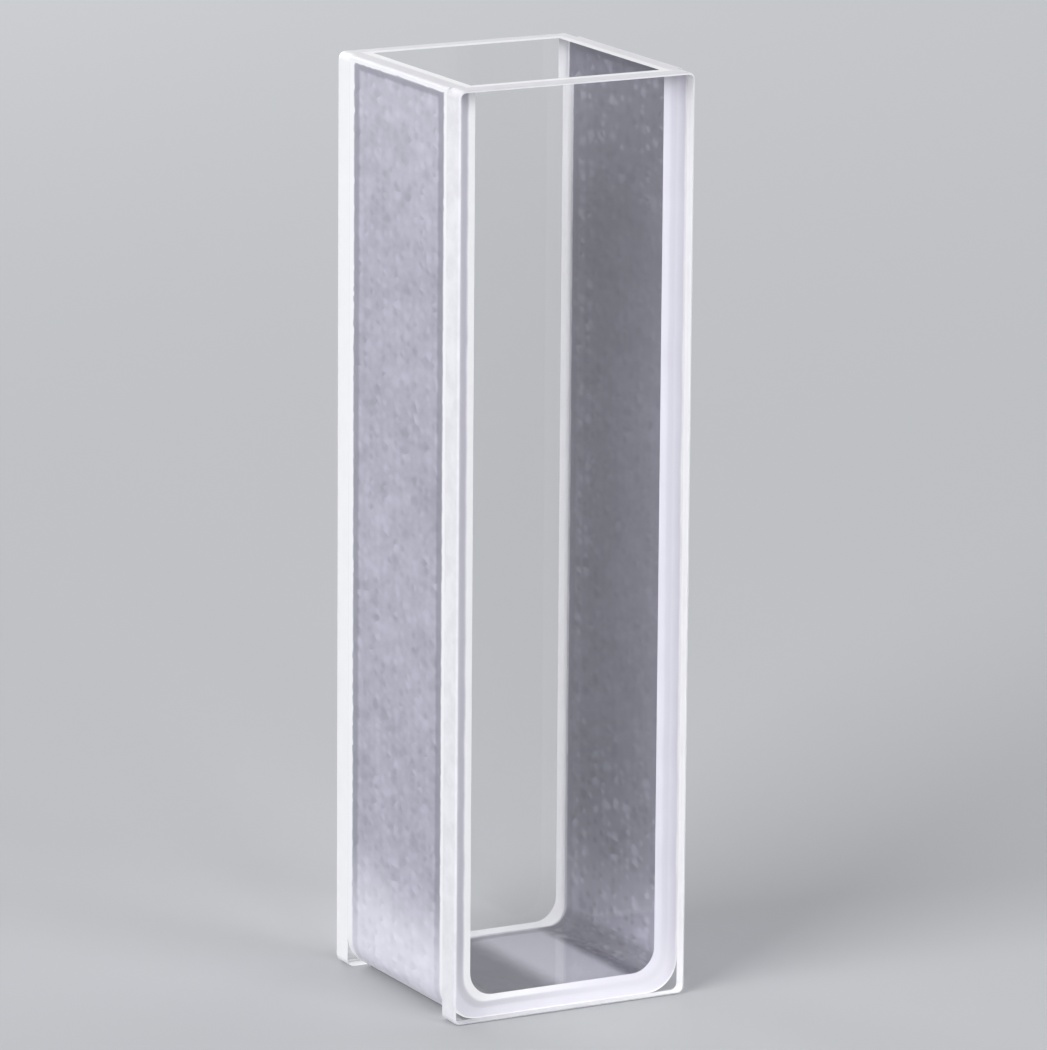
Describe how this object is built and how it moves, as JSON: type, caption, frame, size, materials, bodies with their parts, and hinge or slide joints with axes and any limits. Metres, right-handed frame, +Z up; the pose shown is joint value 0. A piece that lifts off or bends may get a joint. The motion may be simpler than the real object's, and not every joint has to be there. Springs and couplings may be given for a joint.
{
  "type": "spectrophotometer cuvette",
  "caption": "Square open-topped glass cell with two clear windows and two frosted walls; holds a liquid sample in a light beam.",
  "frame": {"origin": "centre of the base, on the surface that the cell stands on", "axes": "+Z up towards the open rim; light passes along Y, in through the front window at -Y and out through the back window at +Y; the frosted walls face -X and +X"},
  "size_m": [0.0126, 0.0126, 0.045],
  "materials": {
    "frosted_glass": "fine ground frosting outside, polished inside the well",
    "clear_glass": "optically polished faces with fine ground edges"
  },
  "bodies": {
    "root": {"frosted_frame": "frosted_glass", "front_window": "clear_glass", "back_window": "clear_glass"}
  },
  "joints": []
}
